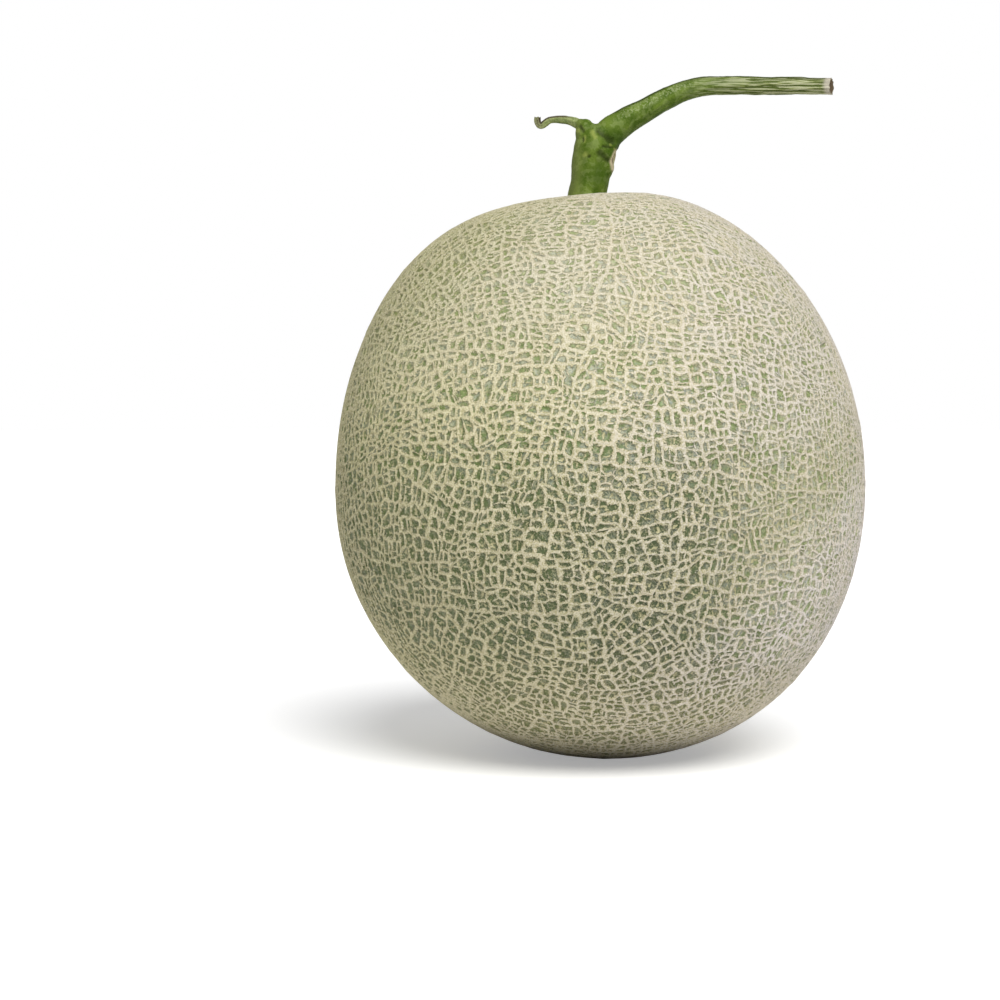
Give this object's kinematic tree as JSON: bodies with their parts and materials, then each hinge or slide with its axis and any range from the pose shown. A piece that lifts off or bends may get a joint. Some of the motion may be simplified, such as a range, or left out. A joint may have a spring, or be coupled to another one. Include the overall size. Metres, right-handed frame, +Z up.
{
  "type": "cantaloupe melon",
  "caption": "Whole round netted melon standing on its blossom end, with a short upright stalk, a bent length of cut vine and a small withered leaf stalk.",
  "frame": {"origin": "middle of the melon's box on the surface it stands on, inside the small flat at the foot of the fruit", "axes": "+Z up through the stalk, +X the way the long cut vine points"},
  "size_m": [0.151, 0.15, 0.1933],
  "materials": {
    "netted_rind": "matt corky net over a satin grey-green skin",
    "green_stem": "satin green stalk with fine lengthwise ribs",
    "withered_stalk": "matt, shrivelled"
  },
  "bodies": {
    "root": {"fruit": "netted_rind", "stem": "green_stem", "leaf_stalk_stub": "withered_stalk"}
  },
  "joints": []
}
